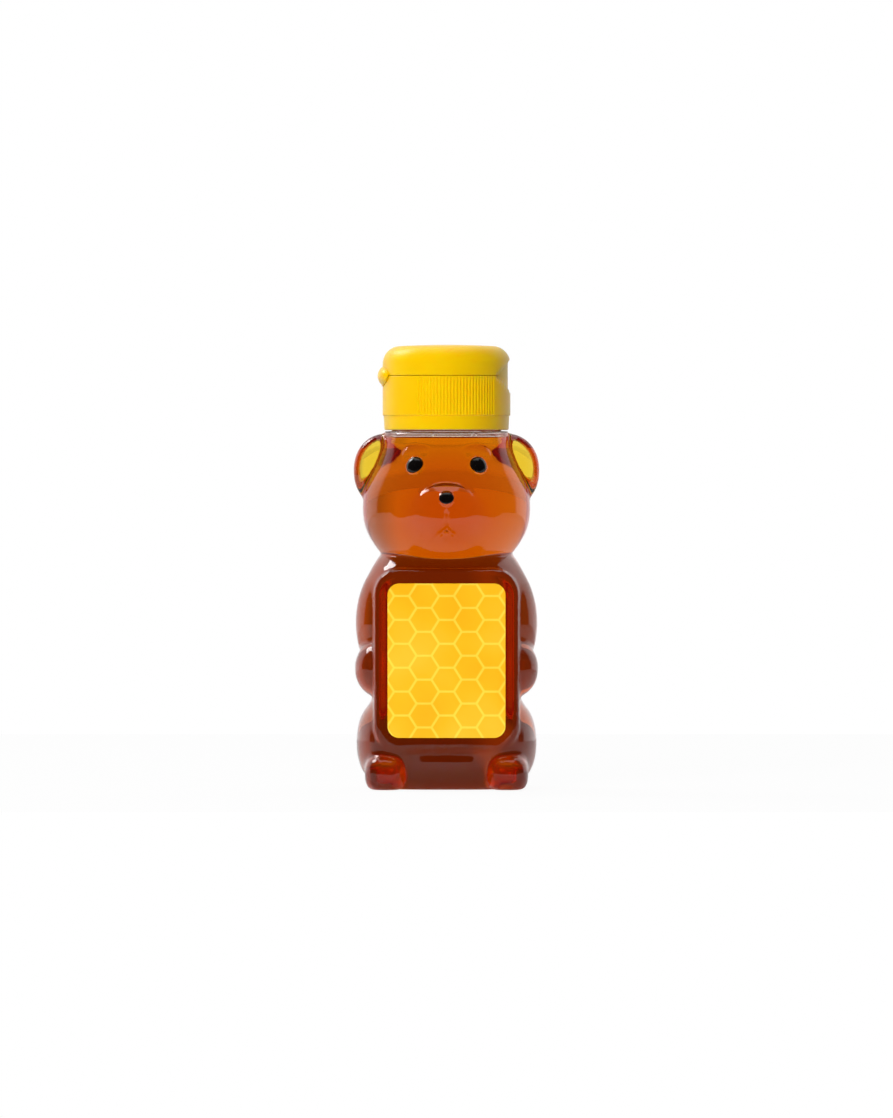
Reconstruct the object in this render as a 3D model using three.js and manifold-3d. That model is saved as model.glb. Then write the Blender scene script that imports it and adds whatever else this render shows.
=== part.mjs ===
// Squeezable honey bear bottle with a screw-on flip-top closure.
// Millimetres, +Z up, the bear looks along -Y. The neck axis is the Z axis until the last lines,
// which centre the whole bottle over the ground.
import * as THREE from 'three';
import { mergeVertices } from 'three/addons/utils/BufferGeometryUtils.js';
import Module from 'manifold-3d';

const wasm = await Module();
wasm.setup();

// Bottle: overall sizes of the blown body
const bottleWidth = 59.6; // across the ears
const bottleDepth = 52; // the head from front to back, without the muzzle
const shoulderHeight = 114.3; // ground to the shoulder that the neck stands on
const bottleWall = 0.9;
const pushUpRadius = 14;
const pushUpHeight = 2.2;

// Front panel and label
const panelWidth = 46.2;
const panelHeight = 58.7;
const panelBottom = 11.9;
const panelCorner = 8.5;
const panelEdge = 2.3; // radius of its rounded edge
const panelProud = 2.1; // how far it stands in front of the belly
const panelRootShare = 0.8; // of the way back to the neck axis
const labelSideMargin = 4.35;
const labelEndMargin = 4.8;
const labelCorner = 3.7;
const labelPaper = 0.15;
const labelLift = 0.05;

// Face
const eyeSpacing = 20;
const eyeRiseShare = 0.903; // of the shoulder height
const eyeWidth = 4.8;
const eyeTall = 5.4;
const eyeRelief = 1.9; // how far the eye bump stands out of the head
const noseWidth = 4.4;
const noseTall = 3.8;
const noseRelief = 1.3;
const noseRiseShare = 0.35; // of the muzzle's half height, above its middle
const inkBorder = 0.75; // bare rim of each bump around its ink
const inkThickness = 0.4;

// Neck finish, 38 mm continuous thread
const threadOuter = 37.4;
const threadDepth = 1.25;
const neckHeight = 10.7;
const neckWall = 1.25;
const neckShoulderRadius = 19.8;
const neckShoulderDrop = 3.3; // straight part of the shoulder
const neckShoulderEase = 0.4; // its eased upper edge

// Creases of the blown body
const limbBlend = 1.8;
const neckBlend = 1.2;

// Honey
const fillDrop = 1.9; // honey level below the shoulder

// Closure
const threadClearance = 0.25;
const skirtWall = 1.2;
const skirtLift = 0.4; // skirt above the bottle's shoulder
const linerThickness = 0.8;
const deckThickness = 1.5;
const wellDepth = 4.1; // deck to the parting line
const lidHeight = 10;
const lidWall = 1.3;
const lidCrown = 0.4; // rise of the nearly flat top
const lidRoundWide = 5.6;
const lidRoundTall = 5.8;
const rimHeight = 1.4; // upstand that the lid closes around
const rimWall = 1.2;
const ribRelief = 0.35;
const ribPitch = 1.073;
const ribRootShare = 0.9; // of the relief, so the roots stay proud of the skirt
const ribBandDrop = 4.4; // plain ring under the ribs
const plainTabArc = 2.22; // radians without ribs under the thumb tab
const plainHingeArc = 1.47; // radians without ribs at the hinge
const spoutHeight = 7.6;
const spoutWall = 1.1;
const spoutFlare = 1.8;
const spoutFlareShare = 0.33; // of the spout's height and flare, where its foot ends
const spoutEaseShare = 0.33; // of the spout's wall
const orificeRadius = 3.3;
const plugDepth = 1.2;
const plugTaper = 0.35;
const tabReach = 1.6;
const tabWidth = 18;
const tabTall = 6.8;
const tabRoot = 1.4; // depth of the tab's swell inside the lid's surface
const hingeWidth = 26;
const hingeTall = 10;
const hingeWeb = 0.5; // thickness of the living hinge

// Clearances shared by the pieces
const fitGap = 0.3; // air between neighbouring pieces
const cutOverrun = 2; // how far a cutter runs past what it cuts

// Facets, fine on the outside of the bear and coarser on its hidden inner wall
const outerFacets = { creaseShare: 1, turnStep: 1, bulgeSides: 16, bulgeRings: 10, cornerSteps: 4, edgeSteps: 2 };
const innerFacets = { creaseShare: 0.05, turnStep: 2, bulgeSides: 12, bulgeRings: 6, cornerSteps: 1, edgeSteps: 1 };
const roundSides = 40;
const neckSides = 36;
const smallSides = 16;
const bumpSides = 12;
const bumpRings = 5;
const cornerSteps = 4;
const profileSamples = 240;
const solverSteps = 26;

// Worked-out sizes
const eyeHeight = eyeRiseShare * shoulderHeight;
const neckRadius = threadOuter / 2 - threadDepth;
const boreRadius = neckRadius - neckWall;
const neckTop = shoulderHeight + neckHeight;
const skirtInner = threadOuter / 2 + threadClearance;
const skirtOuter = skirtInner + skirtWall;
const capRadius = skirtOuter + ribRelief;
const skirtBottom = shoulderHeight + skirtLift;
const linerBottom = neckTop + fitGap;
const deckBottom = linerBottom + linerThickness + fitGap;
const deckTop = deckBottom + deckThickness;
const partingHeight = deckTop + wellDepth;
const ledgeHeight = partingHeight - fitGap / 2;
const lidBottom = partingHeight + fitGap / 2;
const lidTop = partingHeight + lidHeight;
const lidInner = capRadius - lidWall;
const rimOuter = lidInner - fitGap;
const rimInner = rimOuter - rimWall;
const spoutTop = deckTop + spoutHeight;
const hingeFloor = lidInner + hingeWeb;
const fillHeight = shoulderHeight - fillDrop;

// Limbs of the bear: middle and half size, as shares of the width, depth and shoulder height
const limbShares = {
  upperArm: { at: [0.245, -0.095, 0.464], reach: [0.243, 0.29, 0.193], square: 2 },
  paw: { at: [0.337, -0.235, 0.337], reach: [0.154, 0.225, 0.084], square: 2.1 },
  leg: { at: [0.257, -0.035, 0.129], reach: [0.227, 0.455, 0.136], square: 2.3 },
  foot: { at: [0.325, -0.36, 0.045], reach: [0.112, 0.19, 0.056], square: 2.6 },
  ear: { at: [0.317, 0.01, 0.889], reach: [0.183, 0.115, 0.105], square: 2.15 },
  earDish: { at: [0.306, -0.155, 0.893], reach: [0.118, 0.085, 0.08], square: 2 },
  muzzle: { at: [0, -0.405, 0.784], reach: [0.183, 0.17, 0.078], square: 2.1 },
};

// Height share, half width share and half depth share of the torso's sections
const torsoShares = [
  [0, 0.342, 0.411], [0.013, 0.369, 0.444], [0.044, 0.389, 0.465], [0.123, 0.399, 0.471],
  [0.258, 0.401, 0.467], [0.525, 0.401, 0.467], [0.594, 0.402, 0.465], [0.627, 0.389, 0.45],
  [0.656, 0.351, 0.407], [0.682, 0.277, 0.321],
];
const torsoFrontSquare = 3.4;
const torsoBackSquare = 3.1;
const neckSquare = 2;
const squareTopShare = 0.56; // of the shoulder height, where the torso starts to turn round
const neckShare = 0.656; // of the shoulder height, where it meets the head

// Height share, half width share and half depth share up the head
const headShares = [
  [0.63, 0.285, 0.316], [0.656, 0.352, 0.39], [0.673, 0.378, 0.419], [0.695, 0.406, 0.45],
  [0.717, 0.428, 0.474], [0.74, 0.442, 0.49], [0.787, 0.451, 0.5], [0.831, 0.442, 0.49],
  [0.869, 0.416, 0.461], [0.916, 0.374, 0.415], [0.954, 0.346, 0.384], [0.98, 0.334, 0.37],
  [0.991, 0.319, 0.354],
];

// Where the skin is sampled: heights from the ground to the head's top, and half a turn from
// the front to the back, closer together at the creases and at the feet and arms. The inner wall
// has fewer heights and takes every second turn.
const skinHeightShares = [
  0, 0.006, 0.02, 0.036, 0.056, 0.077, 0.096, 0.113, 0.135, 0.16, 0.185, 0.21, 0.232, 0.247,
  0.258, 0.266, 0.276, 0.29, 0.31, 0.337, 0.362, 0.385, 0.402, 0.417, 0.44, 0.47, 0.505, 0.54,
  0.572, 0.602, 0.626, 0.644, 0.651, 0.657, 0.664, 0.68, 0.705, 0.735, 0.775, 0.82, 0.862, 0.9,
  0.94, 0.968, 0.985,
];
const wallHeightShares = [
  0, 0.02, 0.056, 0.09, 0.107, 0.14, 0.185, 0.229, 0.249, 0.262, 0.276, 0.304, 0.34, 0.378, 0.402,
  0.422, 0.47, 0.54, 0.602, 0.644, 0.657, 0.68, 0.735, 0.82, 0.9, 0.96, 0.985,
];
const skinTurnShares = [
  0, 0.06, 0.11, 0.135, 0.155, 0.17, 0.188, 0.21, 0.235, 0.26, 0.285, 0.312, 0.34, 0.368, 0.397,
  0.427, 0.458, 0.49, 0.525, 0.565, 0.61, 0.66, 0.72, 0.785, 0.855, 0.928, 1,
];

const colours = {
  clearPet: '#e9e4d8', honey: '#a84806', yellowCap: '#fcc90c', label: '#fdc91f', ink: '#15100d',
  liner: '#f2efe8',
};

function finish(colour, roughness, opacity = 1) {
  return new THREE.MeshStandardMaterial({
    color: colour, roughness, metalness: 0, opacity, transparent: opacity < 1,
  });
}

// A closed three.js geometry as a solid that can be cut and joined
function solidOf(geometry) {
  const bare = geometry.clone();
  bare.deleteAttribute('normal');
  bare.deleteAttribute('uv');
  const merged = mergeVertices(bare);
  const index = merged.index.array;
  const triangles = [];
  for (let i = 0; i < index.length; i += 3) {
    const [a, b, c] = [index[i], index[i + 1], index[i + 2]];
    if (a !== b && b !== c && c !== a) triangles.push(a, b, c);
  }
  return new wasm.Manifold(new wasm.Mesh({
    numProp: 3,
    vertProperties: new Float32Array(merged.attributes.position.array),
    triVerts: new Uint32Array(triangles),
  }));
}

function geometryOf(solid) {
  const mesh = solid.getMesh();
  const geometry = new THREE.BufferGeometry();
  geometry.setAttribute('position', new THREE.BufferAttribute(new Float32Array(mesh.vertProperties), 3));
  geometry.setIndex(new THREE.BufferAttribute(new Uint32Array(mesh.triVerts), 1));
  geometry.computeVertexNormals();
  return geometry;
}

function join(solids) {
  return solids.reduce((sum, solid) => sum.add(solid));
}

// A profile of [radius, height] points turned about the Z axis
function turned(points, sides = roundSides) {
  const profile = points.map(([radius, height]) => new THREE.Vector2(radius, height));
  return new THREE.LatheGeometry(profile, sides).rotateX(Math.PI / 2);
}

function turnedSolid(points, sides) {
  return solidOf(turned(points, sides));
}

function disc(radius, low, high, sides = roundSides) {
  return turnedSolid([[0, low], [radius, low], [radius, high], [0, high]], sides);
}

// Smooth curve through rows of shares; the answer gives the half sizes at any height share
function smoothProfile(rows) {
  const knots = rows.map((row) => new THREE.Vector3(row[0], row[1], row[2]));
  const samples = new THREE.CatmullRomCurve3(knots, false, 'centripetal').getSpacedPoints(profileSamples);
  return (share) => {
    const after = samples.findIndex((sample) => sample.x > share);
    if (after <= 0) return after === 0 ? samples[0] : samples[samples.length - 1];
    const before = samples[after - 1];
    return before.clone().lerp(samples[after], (share - before.x) / (samples[after].x - before.x));
  };
}

// Rounded body about the origin: an ellipsoid, or squarer than one, with its poles front and back
function bulge(reach, square, sides, rings) {
  const geometry = new THREE.SphereGeometry(1, sides, rings);
  const position = geometry.attributes.position;
  const point = new THREE.Vector3();
  for (let i = 0; i < position.count; i += 1) {
    point.fromBufferAttribute(position, i);
    const length = Math.hypot(...point.toArray().map((part) => Math.abs(part) ** (square / 2)));
    point.divideScalar(length ** (2 / square));
    position.setXYZ(i, point.x * reach[0], point.y * reach[1], point.z * reach[2]);
  }
  return geometry;
}

// A limb's middle, half size and squareness in millimetres; side is -1 or 1
function limbSize(name, side) {
  const { at, reach, square } = limbShares[name];
  const scale = [bottleWidth, bottleDepth, shoulderHeight];
  const centre = at.map((share, axis) => share * scale[axis]);
  const size = reach.map((share, axis) => share * scale[axis]);
  return { at: [centre[0] * side, centre[1], centre[2]], reach: size, square };
}

// The same limb as a solid, with its surface drawn in by inset
function limb(name, side, inset, facets) {
  const { at, reach, square } = limbSize(name, side);
  const size = reach.map((length) => length - inset);
  return solidOf(bulge(size, square, facets.bulgeSides, facets.bulgeRings).translate(...at));
}

// How far a point lies outside a rounded body, nearly, and below zero inside it
function awayFrom(point, { at, reach, square }) {
  const parts = point.map((value, axis) => Math.abs(value - at[axis]) / reach[axis]);
  const size = parts.reduce((sum, part) => sum + part ** square, 0) ** (1 / square) || 1;
  const slope = Math.hypot(...parts.map((part, axis) => (part / size) ** (square - 1) / reach[axis]));
  return (size - 1) / slope;
}

// Two distances joined as one surface, with the crease between them filled over a blend length
function blended(a, b, blend) {
  const overlap = Math.max(blend - Math.abs(a - b), 0);
  return Math.min(a, b) - (overlap * overlap) / (blend * 4);
}

const torsoProfile = smoothProfile(torsoShares);
const headProfile = smoothProfile(headShares);
const torsoTop = torsoShares[torsoShares.length - 1][0] * shoulderHeight;
const headBottom = headShares[0][0] * shoulderHeight;
const skinLimbs = ['upperArm', 'paw', 'leg', 'foot']
  .flatMap((name) => [limbSize(name, -1), limbSize(name, 1)]);

function sectionAway(x, y, profile, height, square) {
  const { y: width, z: depth } = profile(height / shoulderHeight);
  return awayFrom([x, y], { at: [0, 0], reach: [width * bottleWidth, depth * bottleDepth], square });
}

// Distance to the bear's skin, without its ears, muzzle and panel
function skinAway(x, y, z, creaseShare) {
  const roundness = THREE.MathUtils.smoothstep(z / shoulderHeight, squareTopShare, neckShare);
  const square = THREE.MathUtils.lerp(y < 0 ? torsoFrontSquare : torsoBackSquare, neckSquare, roundness);
  const torso = Math.max(sectionAway(x, y, torsoProfile, z, square), z - torsoTop);
  const head = Math.max(sectionAway(x, y, headProfile, z, neckSquare), headBottom - z);
  const body = skinLimbs.reduce(
    (sum, size) => blended(sum, awayFrom([x, y, z], size), limbBlend * creaseShare), torso,
  );
  return blended(body, head, neckBlend * creaseShare);
}

// Radius of the skin, drawn in by inset, at a height and a turn from the front
function skinRadius(turn, height, inset, creaseShare) {
  let [low, high] = [0, bottleWidth];
  for (let i = 0; i < solverSteps; i += 1) {
    const radius = (low + high) / 2;
    const away = skinAway(Math.sin(turn) * radius, -Math.cos(turn) * radius, height, creaseShare);
    if (away + inset > 0) high = radius;
    else low = radius;
  }
  return low;
}

// Closed skin over the torso, limbs and head, sampled on rings from the ground up
function skin(inset, { turnStep, creaseShare }) {
  const heights = turnStep > 1 ? wallHeightShares : skinHeightShares;
  const half = skinTurnShares.filter((share, i) => i % turnStep === 0);
  const back = half.slice(1, -1).reverse().map((share) => 2 - share);
  const turns = [...half, ...back].map((share) => share * Math.PI);
  const top = heights[heights.length - 1] * shoulderHeight;
  const rings = heights.map((share) => {
    const height = Math.min(Math.max(share * shoulderHeight, inset), top - inset);
    return turns.map((turn) => {
      const radius = skinRadius(turn, share * shoulderHeight, inset, creaseShare);
      return [Math.sin(turn) * radius, -Math.cos(turn) * radius, height];
    });
  });
  return loft(rings);
}

// Stacked closed rings of points, capped at both ends
function loft(rings) {
  const count = rings[0].length;
  const index = [];
  for (let row = 0; row < rings.length - 1; row += 1) {
    for (let i = 0; i < count; i += 1) {
      const next = (i + 1) % count;
      const [a, b] = [row * count + i, row * count + next];
      index.push(a, b, b + count, a, b + count, a + count);
    }
  }
  const last = (rings.length - 1) * count;
  for (let i = 1; i < count - 1; i += 1) {
    index.push(0, i + 1, i);
    index.push(last, last + i, last + i + 1);
  }
  const geometry = new THREE.BufferGeometry();
  geometry.setAttribute('position', new THREE.Float32BufferAttribute(rings.flat(2), 3));
  geometry.setIndex(index);
  return solidOf(geometry);
}

// Front surface of the head at a place on the face
function headFront(x, z) {
  const { y: width, z: depth } = headProfile(z / shoulderHeight);
  return -depth * bottleDepth * Math.sqrt(Math.max(0, 1 - (x / (width * bottleWidth)) ** 2));
}

function neckShoulder(inset) {
  const top = shoulderHeight - inset;
  const radius = neckShoulderRadius - inset;
  const low = shoulderHeight - neckShoulderDrop;
  return turnedSolid([
    [0, low - neckShoulderDrop], [neckRadius - inset, low - neckShoulderDrop], [radius, low],
    [radius, top - neckShoulderEase], [radius - neckShoulderEase, top], [0, top],
  ], neckSides);
}

function roundedRectangle(width, height, corner) {
  const shape = new THREE.Shape();
  const [x, y] = [width / 2 - corner, height / 2 - corner];
  shape.absarc(x, y, corner, 0, Math.PI / 2);
  shape.absarc(-x, y, corner, Math.PI / 2, Math.PI);
  shape.absarc(-x, -y, corner, Math.PI, Math.PI * 1.5);
  shape.absarc(x, -y, corner, Math.PI * 1.5, Math.PI * 2);
  shape.closePath();
  return shape;
}

// The raised belly panel, from deep inside the torso to its flat front
const bellyFront = limbShares.leg.reach[1] * bottleDepth;
const panelFront = bellyFront + panelProud;
const panelMiddle = panelBottom + panelHeight / 2;
function panel(inset, facets) {
  const edge = panelEdge - inset / 2;
  const shape = roundedRectangle(
    panelWidth - inset * 2, panelHeight - inset * 2, Math.max(panelCorner - inset, edge + inset),
  );
  const depth = panelFront * panelRootShare - inset * 2;
  const geometry = new THREE.ExtrudeGeometry(shape, {
    depth: depth - edge * 2, bevelEnabled: true, bevelThickness: edge, bevelSize: edge,
    bevelOffset: -edge, bevelSegments: facets.edgeSteps, curveSegments: facets.cornerSteps,
  });
  geometry.rotateX(Math.PI / 2);
  geometry.translate(0, -(panelFront - inset) + depth - edge, panelMiddle);
  return solidOf(geometry);
}

// Everything that is inside the bear's surface drawn in by inset, standing on z = inset
function bearForm(inset, facets) {
  const bodies = [
    neckShoulder(inset), skin(inset, facets), limb('muzzle', 1, inset, facets), panel(inset, facets),
  ];
  for (const side of [-1, 1]) {
    bodies.push(limb('ear', side, inset, facets).subtract(limb('earDish', side, -inset, facets)));
  }
  const domeReach = [pushUpRadius + inset, pushUpRadius + inset, pushUpHeight + inset];
  const dome = solidOf(bulge(domeReach, 2, smallSides, bumpRings));
  return join(bodies).subtract(dome);
}

// Where an eye bump or the nose bump stands: its middle on the surface and the way it faces
function eyeSeat(side) {
  const x = (eyeSpacing / 2) * side;
  const step = eyeWidth / 2;
  const slopeX = (headFront(x + step, eyeHeight) - headFront(x - step, eyeHeight)) / (step * 2);
  const slopeZ = (headFront(x, eyeHeight + step) - headFront(x, eyeHeight - step)) / (step * 2);
  return {
    point: new THREE.Vector3(x, headFront(x, eyeHeight), eyeHeight),
    facing: new THREE.Vector3(slopeX, -1, slopeZ).normalize(),
    size: [eyeWidth / 2, eyeRelief, eyeTall / 2],
  };
}

function noseSeat() {
  const { at, reach } = limbShares.muzzle;
  const out = Math.sqrt(1 - noseRiseShare ** 2);
  const facing = new THREE.Vector3(0, -out / reach[1] / bottleDepth, noseRiseShare / reach[2] / shoulderHeight);
  return {
    point: new THREE.Vector3(
      0, (at[1] - reach[1] * out) * bottleDepth, (at[2] + reach[2] * noseRiseShare) * shoulderHeight,
    ),
    facing: facing.normalize(),
    size: [noseWidth / 2, noseRelief, noseTall / 2],
  };
}

// A geometry that faces -Y about the origin, set on its seat
function seated(geometry, { point, facing }) {
  const turn = new THREE.Quaternion().setFromUnitVectors(new THREE.Vector3(0, -1, 0), facing);
  return solidOf(geometry.applyQuaternion(turn).translate(point.x, point.y, point.z));
}

function bump(seat, grow) {
  const reach = seat.size.map((size) => size + inkBorder + grow);
  const geometry = bulge(reach, 2, bumpSides, bumpRings);
  return seated(geometry.translate(0, inkBorder, 0), seat);
}

// The ink on a bump: a thin cap that follows it inside a round outline
function inkCap(seat) {
  const long = seat.size[1] + cutOverrun;
  const outline = new THREE.CylinderGeometry(1, 1, long, bumpSides);
  outline.scale(seat.size[0], 1, seat.size[2]).translate(0, -long / 2, 0);
  return bump(seat, fitGap + inkThickness).subtract(bump(seat, fitGap)).intersect(seated(outline, seat));
}

function makeBottle() {
  const neck = turnedSolid([
    [0, shoulderHeight - neckShoulderDrop], [neckRadius, shoulderHeight - neckShoulderDrop],
    [neckRadius, neckTop], [0, neckTop],
  ], neckSides);
  const bumps = [eyeSeat(-1), eyeSeat(1), noseSeat()].map((seat) => bump(seat, 0));
  const outside = join([bearForm(0, outerFacets), neck, ...bumps]);
  const bore = disc(boreRadius, fillHeight - cutOverrun, neckTop + cutOverrun);
  return outside.subtract(bearForm(bottleWall, innerFacets)).subtract(bore);
}

function makeHoney() {
  const above = disc(bottleWidth, fillHeight, neckTop, smallSides);
  return bearForm(bottleWall + fitGap, innerFacets).subtract(above);
}

function makeLabel() {
  const shape = roundedRectangle(
    panelWidth - labelSideMargin * 2, panelHeight - labelEndMargin * 2, labelCorner,
  );
  const geometry = new THREE.ExtrudeGeometry(shape, {
    depth: labelPaper, bevelEnabled: false, curveSegments: cornerSteps,
  });
  geometry.rotateX(Math.PI / 2).translate(0, -panelFront - labelLift, panelMiddle);
  return solidOf(geometry);
}

// Lens-shaped pocket at +X whose floor is the thin web of the living hinge
function hingePocket() {
  const [half, rise] = [hingeWidth / 2, hingeTall / 2];
  const radius = (half ** 2 + rise ** 2) / (rise * 2);
  const swing = Math.asin(half / radius);
  const shape = new THREE.Shape();
  shape.absarc(0, rise - radius, radius, Math.PI / 2 - swing, Math.PI / 2 + swing);
  shape.absarc(0, radius - rise, radius, Math.PI * 1.5 - swing, Math.PI * 1.5 + swing);
  shape.closePath();
  const geometry = new THREE.ExtrudeGeometry(shape, {
    depth: capRadius, bevelEnabled: false, curveSegments: cornerSteps * 2,
  });
  geometry.rotateX(Math.PI / 2).rotateZ(Math.PI / 2).translate(cutOverrun, 0, partingHeight);
  const floor = disc(hingeFloor, partingHeight - hingeTall, partingHeight + hingeTall);
  return solidOf(geometry).subtract(floor);
}

// Outline of the closure's side in plan: ribs, with a plain arc at the thumb tab and the hinge
function ribbedOutline() {
  const shape = new THREE.Shape();
  const ribArc = Math.PI - plainTabArc / 2 - plainHingeArc / 2;
  const ribs = Math.max(1, Math.round((ribArc * capRadius) / ribPitch));
  const turns = [];
  const plain = (from, to) => {
    const steps = Math.ceil((to - from) / ((Math.PI * 2) / roundSides));
    for (let i = 0; i < steps; i += 1) turns.push([from + ((to - from) * i) / steps, capRadius]);
  };
  const ribbed = (from) => {
    for (let i = 0; i < ribs; i += 1) {
      turns.push([from + (ribArc * i) / ribs, capRadius]);
      turns.push([from + (ribArc * (i + 0.5)) / ribs, capRadius - ribRelief * ribRootShare]);
    }
  };
  plain(-plainHingeArc / 2, plainHingeArc / 2);
  ribbed(plainHingeArc / 2);
  plain(Math.PI - plainTabArc / 2, Math.PI + plainTabArc / 2);
  ribbed(Math.PI + plainTabArc / 2);
  turns.forEach(([turn, radius], i) => {
    const [x, y] = [Math.cos(turn) * radius, Math.sin(turn) * radius];
    if (i === 0) shape.moveTo(x, y);
    else shape.lineTo(x, y);
  });
  shape.closePath();
  const hole = new THREE.Path();
  hole.absarc(0, 0, (skirtInner + skirtOuter) / 2, 0, Math.PI * 2, true);
  shape.holes.push(hole);
  return shape;
}

function makeCapBase() {
  const wall = turnedSolid([
    [0, deckBottom], [skirtInner, deckBottom], [skirtInner, skirtBottom],
    [skirtOuter - ribRelief, skirtBottom], [skirtOuter, skirtBottom + ribRelief],
    [skirtOuter, ledgeHeight], [rimOuter, ledgeHeight], [rimOuter, partingHeight + rimHeight],
    [rimInner, partingHeight + rimHeight], [rimInner, deckTop], [0, deckTop],
  ]);
  const bandBottom = skirtBottom + ribBandDrop;
  const band = new THREE.ExtrudeGeometry(ribbedOutline(), {
    depth: ledgeHeight - bandBottom, bevelEnabled: false, curveSegments: roundSides / 2,
  }).translate(0, 0, bandBottom);
  const spoutTip = orificeRadius + spoutWall;
  const spoutRoot = spoutTip + spoutFlare;
  const ease = spoutWall * spoutEaseShare;
  const spout = turnedSolid([
    [0, deckBottom + deckThickness / 2], [spoutRoot, deckBottom + deckThickness / 2],
    [spoutRoot, deckTop],
    [spoutTip + spoutFlare * spoutFlareShare, deckTop + spoutHeight * spoutFlareShare],
    [spoutTip, spoutTop - ease], [spoutTip - ease, spoutTop], [0, spoutTop],
  ], smallSides);
  const orifice = disc(orificeRadius, deckBottom - cutOverrun, spoutTop + cutOverrun, smallSides);
  return join([wall, solidOf(band), spout]).subtract(orifice).subtract(hingePocket());
}

// Half section of the lid's outside, or of its inside when drawn in by inset
function lidProfile(inset, low) {
  const radius = capRadius - inset;
  const straightTop = lidTop - lidCrown - lidRoundTall;
  const round = new THREE.EllipseCurve(
    capRadius - lidRoundWide, straightTop, lidRoundWide - inset, lidRoundTall - inset, 0, Math.PI / 2,
  );
  const points = [[0, low], [radius, low]];
  round.getPoints(cornerSteps).forEach((point) => points.push([point.x, point.y]));
  points.push([0, lidTop - inset]);
  return points;
}

function makeLid() {
  const shell = turnedSolid(lidProfile(0, lidBottom));
  const swell = bulge([tabReach + tabRoot, tabWidth / 2, tabTall / 2], 2, smallSides, smallSides / 2);
  const tab = solidOf(swell.translate(tabRoot - capRadius, 0, partingHeight));
  const baseRoom = disc(capRadius + fitGap, skirtBottom, lidBottom);
  const hollow = turnedSolid(lidProfile(lidWall, lidBottom - cutOverrun));
  const roof = lidTop - lidWall;
  const plugRadius = orificeRadius - fitGap;
  const plugBottom = spoutTop - plugDepth;
  const plug = turnedSolid([
    [0, plugBottom], [plugRadius - plugTaper, plugBottom], [plugRadius, spoutTop],
    [plugRadius, roof + lidWall / 2], [0, roof + lidWall / 2],
  ], smallSides);
  return join([shell, tab]).subtract(baseRoom).subtract(hollow).add(plug).subtract(hingePocket());
}

function makeLiner() {
  return disc(boreRadius + neckWall - fitGap, linerBottom, linerBottom + linerThickness);
}

const bottleGroup = new THREE.Group();

function place(name, solid, material) {
  const mesh = new THREE.Mesh(geometryOf(solid), material);
  mesh.name = name;
  bottleGroup.add(mesh);
}

const inkFinish = finish(colours.ink, 0.25);
const capFinish = finish(colours.yellowCap, 0.35);
place('bottle', makeBottle(), finish(colours.clearPet, 0.08, 0.35));
place('honey', makeHoney(), finish(colours.honey, 0.1));
place('label', makeLabel(), finish(colours.label, 0.45));
place('eye_left', inkCap(eyeSeat(-1)), inkFinish);
place('eye_right', inkCap(eyeSeat(1)), inkFinish);
place('nose', inkCap(noseSeat()), inkFinish);
place('seal_liner', makeLiner(), finish(colours.liner, 0.7));
place('cap_base', makeCapBase(), capFinish);
place('flip_lid', makeLid(), capFinish);

// The ground point under the middle of the whole bottle is the origin
const wholeBox = new THREE.Box3().setFromObject(bottleGroup);
const middle = wholeBox.getCenter(new THREE.Vector3());
bottleGroup.position.y = -middle.y;

export default bottleGroup;
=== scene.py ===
import math

import bmesh
import bpy
import numpy as np
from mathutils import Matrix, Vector


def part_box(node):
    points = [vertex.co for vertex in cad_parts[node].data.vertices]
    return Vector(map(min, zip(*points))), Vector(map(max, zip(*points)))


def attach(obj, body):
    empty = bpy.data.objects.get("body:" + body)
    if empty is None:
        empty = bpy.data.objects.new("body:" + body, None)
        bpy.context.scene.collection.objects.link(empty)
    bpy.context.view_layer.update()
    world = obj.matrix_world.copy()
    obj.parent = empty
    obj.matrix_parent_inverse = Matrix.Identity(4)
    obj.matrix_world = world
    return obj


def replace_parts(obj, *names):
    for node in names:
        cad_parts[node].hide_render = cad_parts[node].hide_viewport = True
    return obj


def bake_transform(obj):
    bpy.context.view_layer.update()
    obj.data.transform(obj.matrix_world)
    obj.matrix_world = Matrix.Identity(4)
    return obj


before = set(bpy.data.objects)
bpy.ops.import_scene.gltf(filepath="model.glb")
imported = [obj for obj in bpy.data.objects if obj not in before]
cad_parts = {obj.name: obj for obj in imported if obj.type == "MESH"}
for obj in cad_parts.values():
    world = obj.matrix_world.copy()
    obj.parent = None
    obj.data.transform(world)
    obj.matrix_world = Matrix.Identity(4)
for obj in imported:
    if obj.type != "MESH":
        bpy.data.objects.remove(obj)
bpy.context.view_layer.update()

mm = 0.001
linerLow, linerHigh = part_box("seal_liner")
neckY = (linerLow.y + linerHigh.y) / 2  # shapes are drawn in mm about this axis


# nodes


def linearColour(hexColour):
    channels = [int(hexColour[i:i + 2], 16) / 255 for i in (1, 3, 5)]
    linear = [c / 12.92 if c <= 0.04045 else ((c + 0.055) / 1.055) ** 2.4 for c in channels]
    return (*linear, 1.0)


def addNode(tree, kind, inputs=None, **settings):
    node = tree.nodes.new("ShaderNode" + kind)
    for name, value in settings.items():
        setattr(node, name, value)
    for name, value in (inputs or {}).items():
        if isinstance(value, bpy.types.NodeSocket):
            tree.links.new(value, node.inputs[name])
        else:
            node.inputs[name].default_value = value
    return node


def addMaths(tree, operation, *values, **settings):
    inputs = dict(enumerate(values))
    return addNode(tree, "Math", inputs, operation=operation, **settings).outputs[0]


def addNoise(tree, place, scale, detail=2.0):
    inputs = {"Vector": place, "Scale": scale, "Detail": detail}
    return addNode(tree, "TexNoise", inputs).outputs["Fac"]


# A bump whose depth is in mm, on top of another one if given
def addBump(tree, height, strength, depth, under=None):
    inputs = {"Height": height, "Strength": strength, "Distance": depth * mm}
    if under is not None:
        inputs["Normal"] = under
    return addNode(tree, "Bump", inputs).outputs["Normal"]


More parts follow.
